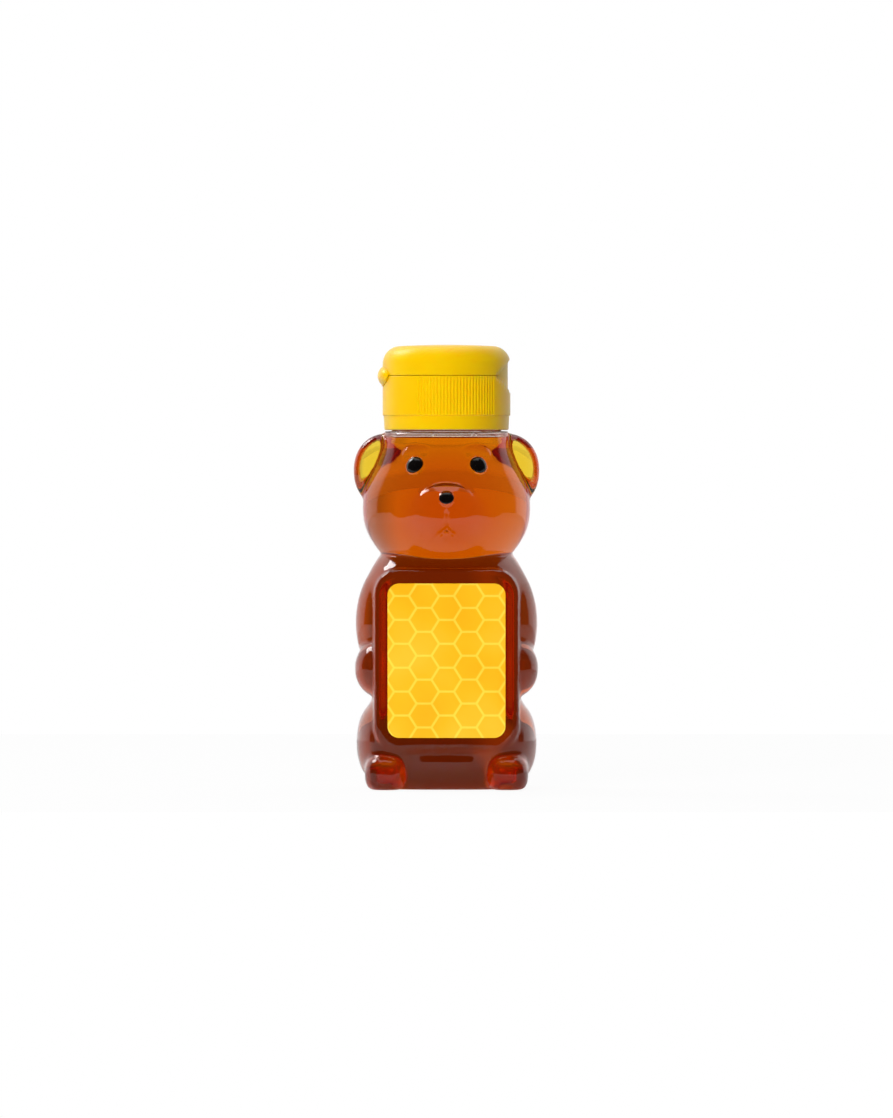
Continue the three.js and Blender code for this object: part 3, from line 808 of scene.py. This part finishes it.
def withoutFace(x, y, z):
    return bearField(x, y, z, withFace=False)


def neckProfile():
    n, top = neck, bear["shoulder"]
    inner = n["shoulderRadius"] - bear["wall"]
    return spaced(rounded([
        (n["shoulderRadius"], top - n["seam"]), (n["shoulderRadius"], top, n["ease"]),
        (n["radius"], top, 0.5), (n["radius"], n["top"], 0.5), (n["bore"], n["top"], 0.4),
        (n["bore"], top - bear["wall"], 0.6), (inner, top - bear["wall"], 0.5),
        (inner, honeyLevel),
    ]), 0.4)


def neckThread(turns, radius, height):
    wall = smoothStep(neck["radius"] - 0.3, neck["radius"] - 0.05, radius)
    wall = wall * (height > bear["shoulder"] + 1)
    ridge = threadRidge(turns, height, neck["threadLow"])
    return radius + neck["threadRise"] * ridge * wall, height


# One mesh of a bear's skin and the turned part above it, stitched where they meet
def stitched(name, skin, skinFaces, loop, turned, turnedFaces, steps, material):
    points = np.concatenate([skin, turned])
    faces = [*skinFaces.tolist(), *(np.array(turnedFaces) + len(skin)).tolist()]
    faces += zipped(points, loop, np.arange(steps) + len(skin))
    return meshPiece(name, *compact(points, faces), material)


def makeShell():
    steps = 240
    skin = skinOf(bearField, 0, bear["outerGrid"], *skinBox)
    skin = cutAbove(*skin, bear["shoulder"] - neck["seam"], neck["shoulderRadius"])
    turned = turnedMesh(neckProfile(), steps, shift=neckThread)
    return stitched("bottleShell", *skin, *turned, steps, clearPet)


# The honey wets the wall, and PET and honey bend light alike, so the honey's own skin stands for
# the wetted inside of the wall
def makeHoney():
    steps = 120
    rim = neck["shoulderRadius"] - bear["wall"] - honeyTop["gap"]
    skin = skinOf(withoutFace, bear["wall"], bear["wallGrid"], *skinBox)
    skin = cutAbove(*skin, honeyLevel, rim)
    climb = [(rim - inward, honeyLevel - down) for inward, down in honeyTop["climb"]]
    climb += [(radius, honeyLevel - honeyTop["flat"]) for radius in (12, 6, 0)]
    fill = stitched("honeyFill", *skin, *turnedMesh(climb, steps), steps, honeyMaterial)
    lifted = [(radius, height + honeyTop["lift"]) for radius, height in climb]
    return fill, meshPiece("honeySurface", *turnedMesh(lifted, steps), honeyGloss)


shell = makeShell()
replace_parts(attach(shell, "bottle"), "bottle")
print(f"Bottle shell: {len(shell.data.vertices)} points")
honeyFill, honeySurface = makeHoney()
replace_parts(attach(honeyFill, "bottle"), "honey")
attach(honeySurface, "bottle")
print(f"Honey: {len(honeyFill.data.vertices)} points")


# eyes and nose

pads = {
    "reach": 1.06,  # share of the bump that the ink covers
    "eyeStretch": 1.12,  # how much wider the eyes are printed
    "thickness": 0.07, "edge": 0.012, "gap": 0.015, "rings": 12, "turns": 48,
}


# Points of a flat disc of ink over a bump, moved along the facing direction onto the bear's skin
def onSkin(points, facing):
    lift = np.zeros(len(points))
    for _ in range(12):
        here = points + np.outer(lift, facing)
        level = bearField(*here.T)
        ahead = bearField(*(here + facing * 0.05).T)
        lift -= np.clip(level / np.maximum((ahead - level) / 0.05, 0.2), -1, 1)
    return points + np.outer(lift, facing)


def makeInkPad(name, seat, stretch):
    right, inward, up = seatAxes(seat)
    wide, deep, tall = seat["size"]
    rings, turns = pads["rings"], pads["turns"]
    shares = np.linspace(0, 1, rings + 1)[1:]
    turn = np.arange(turns) * 2 * math.pi / turns
    reach = pads["reach"] + 0.025 * np.sin(2 * turn + 1.1) + 0.015 * np.sin(3 * turn)
    spread = shares[:, None] * reach
    u = np.append(0, spread * np.cos(turn) * wide * stretch)
    v = np.append(0, spread * np.sin(turn) * tall)
    rim = np.append(0, np.repeat(shares, turns))
    middle = np.array(seat["point"]) - inward * deep
    on = onSkin(middle + np.outer(u, right) + np.outer(v, up), -inward)
    _, normal = distanceAt(on, bearField, 0)
    thick = pads["thickness"] * np.sqrt(np.clip(1 - rim ** 8, 0, 1)) + pads["edge"]
    lower = on + normal * pads["gap"]
    upper = lower + normal * thick[:, None]
    count = len(on)
    faces = []
    for first in (0, count):
        faces += [[first, first + 1 + k, first + 1 + (k + 1) % turns] for k in range(turns)]
        faces += ringFaces(first + 1, rings, turns)
    edge = 1 + (rings - 1) * turns
    for k in range(turns):
        after = (k + 1) % turns
        faces.append([edge + k, edge + after, count + edge + after, count + edge + k])
    return meshPiece(name, np.concatenate([upper, lower]), faces, blackInk)


padNames = {"eye_left": "eyeLeft", "eye_right": "eyeRight", "nose": "nosePad"}
for node, name in padNames.items():
    pad = makeInkPad(name, seats[node], 1 if node == "nose" else pads["eyeStretch"])
    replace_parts(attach(pad, "bottle"), node)
print("Eyes and nose are made")


# label

labelSize = {
    "width": 37.5, "height": 49.1, "corner": 3.7, "paper": 0.15, "lift": 0.05, "edge": 0.03,
}


def makeLabel():
    corner, edge, paper = labelSize["corner"], labelSize["edge"], labelSize["paper"]
    halfX, halfZ = (labelSize[key] / 2 - corner for key in ("width", "height"))
    front = -panelFront - labelSize["lift"] - paper
    rows = []
    for inset, y in ((edge, front), (0.0, front + edge), (0.0, front + paper)):
        for quarter, (sideX, sideZ) in enumerate(((1, 1), (-1, 1), (-1, -1), (1, -1))):
            for angle in np.linspace(0, math.pi / 2, 13) + quarter * math.pi / 2:
                x = sideX * halfX + (corner - inset) * math.cos(angle)
                z = sideZ * halfZ + (corner - inset) * math.sin(angle)
                rows.append((x, y, panelMiddle + z))
    count = len(rows) // 3
    piece = meshPiece("labelSheet", rows, tubeFaces(3, count), labelFilm)
    piece.data.shade_flat()
    return piece


labelSheet = makeLabel()
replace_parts(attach(labelSheet, "bottle"), "label")
print("Label is made")


# closure

cap = {
    "radius": 20.5, "ringLow": 19.95, "ringHigh": 20.15, "skirtInner": 18.95, "bottom": 114.7,
    "ribLow": 119.1, "ribHigh": 131.75, "ribDepth": 0.33, "ribs": 120,
    "plainTab": math.radians(63.6), "plainHinge": math.radians(42),
    "deckLow": 126.7, "deckHigh": 127.9, "ledge": 131.93, "parting": 132.0,
    "rimOuter": 18.9, "rimInner": 17.7, "rimTop": 133.4,
    "spoutRadius": 4.4, "spoutRoot": 6.2, "spoutTop": 135.5, "orifice": 3.3,
    "lidBottom": 132.07, "lidTop": 142.0, "lidWall": 1.3, "sideTop": 134.5, "roundWide": 5.6,
    "roundTall": 5.8, "crown": 0.4, "crownRows": ((10, 0.45), (5, 0.11), (0, 0)),
    "plugRadius": 3.0, "plugBottom": 134.3,
    "lensHalf": 13.0, "lensRise": 5.0, "hingeFloor": 19.7, "hingeWeb": 0.5,
    "threadRise": 1.1, "steps": 720,
}


# 1 inside the lens-shaped pocket at the hinge, seen along X
def lensShare(turns, radius, height):
    half, rise = cap["lensHalf"], cap["lensRise"]
    bow = (half ** 2 + rise ** 2) / (2 * rise)
    y = radius * np.sin(turns)
    lift = np.abs(height - cap["parting"]) + bow - rise
    return (1 - smoothStep(-0.22, 0.12, np.hypot(y, lift) - bow)) * (np.cos(turns) > 0)


def ribbing(turns, height):
    fromHinge = np.abs((turns + math.pi) % (2 * math.pi) - math.pi)
    arc = smoothStep(cap["plainHinge"] - 0.02, cap["plainHinge"] + 0.02, fromHinge)
    arc *= smoothStep(cap["plainTab"] - 0.02, cap["plainTab"] + 0.02, math.pi - fromHinge)
    run = smoothStep(cap["ribLow"] + 0.15, cap["ribLow"] + 0.7, height)
    run *= 1 - smoothStep(cap["ribHigh"] - 0.5, cap["ribHigh"], height)
    groove = 0.5 - 0.5 * np.cos(turns * cap["ribs"])
    return groove ** 0.8 * arc * run


def baseShape(turns, radius, height):
    side = smoothStep(20.28, 20.45, radius) * (height < cap["ledge"] + 0.01)
    radius = radius - cap["ribDepth"] * ribbing(turns, height) * side
    pocket = lensShare(turns, radius, height) * (radius > cap["hingeFloor"])
    radius = radius + (cap["hingeFloor"] - radius) * pocket
    inner = (np.abs(radius - cap["skirtInner"]) < 0.02) & (height < cap["deckLow"] - 1)
    low = neck["threadLow"] - neck["threadPitch"] / 2
    ridge = threadRidge(turns, height, low)
    return radius - cap["threadRise"] * ridge * inner, height


def makeCapBase():
    c = cap
    profile = rounded([
        (c["skirtInner"], c["bottom"] + 2), (c["skirtInner"], c["bottom"], 0.3),
        (c["ringLow"], c["bottom"], 0.45), (c["ringHigh"], c["ribLow"], 0.1),
        (c["radius"], c["ribLow"] + 0.35, 0.15),
        (c["radius"], c["ledge"], 0.25), (c["rimOuter"], c["ledge"], 0.15),
        (c["rimOuter"], c["rimTop"], 0.35), (c["rimInner"], c["rimTop"], 0.3),
        (c["rimInner"], c["deckHigh"], 0.6),
        (c["spoutRoot"], c["deckHigh"], 1.2), (c["spoutRadius"] + 0.6, c["deckHigh"] + 2.6, 2.0),
        (c["spoutRadius"], c["spoutTop"], 0.4), (c["orifice"], c["spoutTop"], 0.35),
        (c["orifice"], c["deckLow"], 0.5), (c["skirtInner"], c["deckLow"], 0.8),
        (c["skirtInner"], c["bottom"] + 2.01),
    ], 4)
    points, faces = turnedMesh(spaced(profile, 0.9), c["steps"], closed=True, shift=baseShape)
    return meshPiece("capBase", points, faces, yellowPp)


# The lid's rounded shoulder, or the same one further in
def lidCurve(inset, steps):
    wide, tall = cap["roundWide"], cap["roundTall"]
    radius, height = cap["radius"] - wide, cap["lidTop"] - cap["crown"] - tall
    return [
        (radius + (wide - inset) * math.cos(angle), height + (tall - inset) * math.sin(angle))
        for angle in np.linspace(0, math.pi / 2, steps)
    ]


def lidShape(turns, radius, height):
    pocket = lensShare(turns, radius, height) * (radius > cap["hingeFloor"])
    return radius + (cap["hingeFloor"] - radius) * pocket, height


def makeFlipLid():
    c = cap
    crown, plug, roof = c["crown"], c["plugRadius"], c["lidTop"] - c["lidWall"]
    outer = rounded([
        (c["radius"] - 0.6, c["lidBottom"]), (c["radius"], c["lidBottom"], 0.25),
        (c["radius"], c["sideTop"]),
    ], 4)
    crownRow = [(radius, c["lidTop"] - crown * sag) for radius, sag in c["crownRows"]]
    stem = [
        (4.4, roof - 0.05), (3.5, roof - 0.3), (plug + 0.1, roof - 1.2), (plug, c["spoutTop"]),
        (plug - 0.3, c["plugBottom"] + 0.2), (plug - 0.6, c["plugBottom"]), (0, c["plugBottom"]),
    ]
    rows = [*map(tuple, outer), *lidCurve(0, 14), *crownRow]
    under = [(c["radius"] - c["lidWall"], c["lidBottom"]), *lidCurve(c["lidWall"], 8), *stem]
    profile = np.array(rows[::-1] + under)
    points, faces = turnedMesh(spaced(profile, 0.9), c["steps"] // 2, shift=lidShape)
    return meshPiece("flipLid", points, faces, yellowPp)


tab = {
    "reach": 3.0, "half": 9.0, "tall": 3.4, "root": 1.4, "low": 132.15,
    "room": 20.8,  # how far from the axis it stays below the lid, mm
    "rows": 40, "turns": 28,
}


# The lid's thumb tab: a rounded swell whose lip hangs just outside the base
def makeThumbTab():
    rows, count = tab["rows"], tab["turns"]
    points = []
    for k in range(rows + 1):
        y = tab["half"] * math.sin(math.pi * (k / rows - 0.5)) * 0.999
        shrink = math.sqrt(max(0, 1 - (y / tab["half"]) ** 2))
        for turn in np.arange(count) * 2 * math.pi / count:
            x = -(cap["radius"] - tab["root"]) - tab["reach"] * shrink * math.cos(turn)
            z = cap["parting"] + tab["tall"] * shrink * math.sin(turn)
            room = tab["room"] if z < tab["low"] else cap["radius"] - 0.8
            points.append((x * max(1, room / math.hypot(x, y)), y, z))
    return meshPiece("thumbTab", points, tubeFaces(rows + 1, count), yellowPp)


strap = {"half": 10.5, "low": 131.3, "high": 132.7}


# The thin web that the lid turns on, across the parting line at the bottom of the pocket
def makeHingeStrap():
    inner, outer = cap["hingeFloor"] - cap["hingeWeb"] + 0.05, cap["hingeFloor"] - 0.04
    turn = np.linspace(-1, 1, 31) * math.asin(strap["half"] / cap["hingeFloor"])
    heights = np.linspace(strap["low"], strap["high"], 9)
    loop = [(outer, z) for z in heights] + [(inner, z) for z in heights[::-1]]
    points = [(r * math.cos(a), r * math.sin(a), z) for a in turn for r, z in loop]
    return meshPiece("hingeStrap", points, tubeFaces(len(turn), len(loop)), yellowPp)


capBase = makeCapBase()
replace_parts(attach(capBase, "cap"), "cap_base")
flipLid = makeFlipLid()
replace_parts(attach(flipLid, "lid"), "flip_lid")
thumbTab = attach(makeThumbTab(), "lid")
hingeStrap = makeHingeStrap()
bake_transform(hingeStrap)
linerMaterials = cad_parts["seal_liner"].data.materials
linerMaterials.clear()
linerMaterials.append(linerFoam)
print(f"Closure: {len(capBase.data.vertices)} points in the base, "
      f"{len(flipLid.data.vertices)} in the lid")


# floor, light and camera

floorPaper = {
    "side": 1.2, "front": -0.17, "back": 0.5, "level": -0.0003, "colour": "#dcdcdc",
    "white": 0.95,  # how far it turns plain white to the camera and through the honey
    # Painted shadow: through the honey the white is dimmed to 0.15 close to the bottle, and to 0.5
    # further out
    "glowWithPaintedShadow": [(0.05, 0.15), (0.11, 1.0), (0.26, 1.0), (0.31, 0.5)],  # through the honey, metres away
}


# Matt white sweep paper: a soft pale grey to the lamps, and plain white to the camera; seen
# through the honey, its white carries a painted shadow close round the bottle
def makeFloor():
    side, front, back = (floorPaper[key] for key in ("side", "front", "back"))
    corners = ((-side, front), (side, front), (side, back), (-side, back))
    corners = [(*corner, floorPaper["level"]) for corner in corners]
    material, tree, place = newMaterial("whiteSweepPaper")
    rays = addNode(tree, "LightPath").outputs
    reach = addNode(tree, "VectorMath", {0: place}, operation="LENGTH").outputs["Value"]
    glowWithPaintedShadow = addRamp(tree, reach, floorPaper["glowWithPaintedShadow"])
    through = addMaths(tree, "MULTIPLY", rays["Is Transmission Ray"], glowWithPaintedShadow)
    seen = addMaths(tree, "MAXIMUM", rays["Is Camera Ray"], through)
    colour = linearColour(floorPaper["colour"])
    paper = addNode(tree, "BsdfDiffuse", {"Color": colour}).outputs["BSDF"]
    white = addNode(tree, "Emission", {"Color": (1, 1, 1, 1), "Strength": 1.0})
    mixed = addNode(tree, "MixShader", {
        0: addMaths(tree, "MULTIPLY", seen, floorPaper["white"]),
        1: paper, 2: white.outputs["Emission"],
    })
    addNode(tree, "OutputMaterial", {"Surface": mixed.outputs["Shader"]})
    floor = addMesh("floor", corners, [(0, 1, 2, 3)], material)


# Painted shade seen through the honey: a brown glow, brighter on the +X side and darker towards
# the bottom
paintedShadeCard = {
    "place": 0.05, "half": 0.12, "top": 0.071, "colour": (1.0, 0.62, 0.4, 1.0),
    "across": (-0.05, 0.05), "side": [(0.4, 0.27), (0.56, 0.28), (0.64, 0.6)],
    "up": (0.0, 0.1), "rise": [(0.0, 0.5), (0.29, 0.85), (0.6, 1.0)],
}


# Painted shade: a brown glowing sheet close behind the bear's body, seen only through the honey,
# so that the body shows deeper than the head
def makePaintedShadeCard():
    half, top, place = paintedShadeCard["half"], paintedShadeCard["top"], paintedShadeCard["place"]
    corners = [(-half, place, 0), (half, place, 0), (half, place, top), (-half, place, top)]
    material, tree, coordinates = newMaterial("paintedShadeGlow")
    axes = addNode(tree, "SeparateXYZ", {"Vector": coordinates}).outputs
    # The painted shade's glow: brighter on the +X side, darker towards the bottom
    side = addRamp(tree, addRange(tree, axes["X"], *paintedShadeCard["across"]), paintedShadeCard["side"])
    rise = addRamp(tree, addRange(tree, axes["Z"], *paintedShadeCard["up"]), paintedShadeCard["rise"])
    light = addNode(tree, "Emission", {
        "Color": paintedShadeCard["colour"], "Strength": addMaths(tree, "MULTIPLY", side, rise),
    })
    addNode(tree, "OutputMaterial", {"Surface": light.outputs["Emission"]})
    card = addMesh("paintedShadeCard", corners, [(0, 1, 2, 3)], material)
    card.visible_camera = card.visible_diffuse = False
    card.visible_glossy = card.visible_shadow = False


room = {
    "mirrored": [(0.0, 0.02), (0.65, 0.05), (0.7, 0.8), (0.8, 1.0)],  # from front to back
    "through": [(0.72, 1.0), (0.84, 0.6)],  # from left to right
}


# White to the camera, dark in front and bright behind in mirror images, bright through honey
def makeWorld():
    world = bpy.data.worlds.new("studio")
    bpy.context.scene.world = world
    world.use_nodes = True
    tree = world.node_tree
    tree.nodes.clear()
    direction = addNode(tree, "TexCoord").outputs["Generated"]
    axes = addNode(tree, "SeparateXYZ", {"Vector": direction}).outputs
    mirrored = addRamp(tree, addRange(tree, axes["Y"], -1.0, 1.0), room["mirrored"])
    through = addRamp(tree, addRange(tree, axes["X"], -1.0, 1.0), room["through"])
    rays = addNode(tree, "LightPath").outputs
    colour = mixColours(tree, rays["Is Transmission Ray"], mirrored, through)
    colour = mixColours(tree, rays["Is Camera Ray"], colour, (1, 1, 1, 1))
    background = addNode(tree, "Background", {"Color": colour, "Strength": 1.0})
    addNode(tree, "OutputWorld", {"Surface": background.outputs["Background"]})


lamps = {
    "keyBack": {"place": (-0.65, 0.45, 0.85), "aim": 0.09, "size": (0.4, 0.4), "power": 4.0},
    "fillFront": {
        "place": (-0.6, -1.7, 0.7), "aim": 0.09, "size": (1, 1), "power": 38.0, "mirrored": False,
    },
    "top": {"place": (0.0, 0.15, 1.1), "aim": 0.1, "size": (0.8, 0.8), "power": 2.6},
}


# Sets something at a place and turns it to a height on the bottle's axis
def aimAt(thing, place, height):
    thing.location = place
    thing.rotation_mode = "QUATERNION"
    thing.rotation_quaternion = (Vector(place) - Vector((0, 0, height))).to_track_quat("Z", "Y")


# A soft lamp; none is seen through the honey
def makeLamp(name, place, aim, size, power, mirrored=True):
    data = bpy.data.lights.new(name, "AREA")
    data.shape = "RECTANGLE"
    data.size, data.size_y = size
    data.energy = power
    lamp = addObject(name, data)
    lamp.visible_glossy = mirrored
    lamp.visible_transmission = False
    aimAt(lamp, place, aim)


view = {"distance": 2.5, "height": 0.104, "aim": 0.0733, "lens": 251.0}


def makeCamera():
    data = bpy.data.cameras.new("camera")
    data.lens = view["lens"]
    data.sensor_fit = "AUTO"
    data.sensor_width = 36
    camera = addObject("camera", data)
    aimAt(camera, (0.0, -view["distance"], view["height"]), view["aim"])
    bpy.context.scene.camera = camera


makeFloor()
makeWorld()
makePaintedShadeCard()
for lampName, lampValues in lamps.items():
    makeLamp(lampName, **lampValues)
makeCamera()
bpy.context.scene.view_settings.view_transform = "Standard"
print("Studio is set")
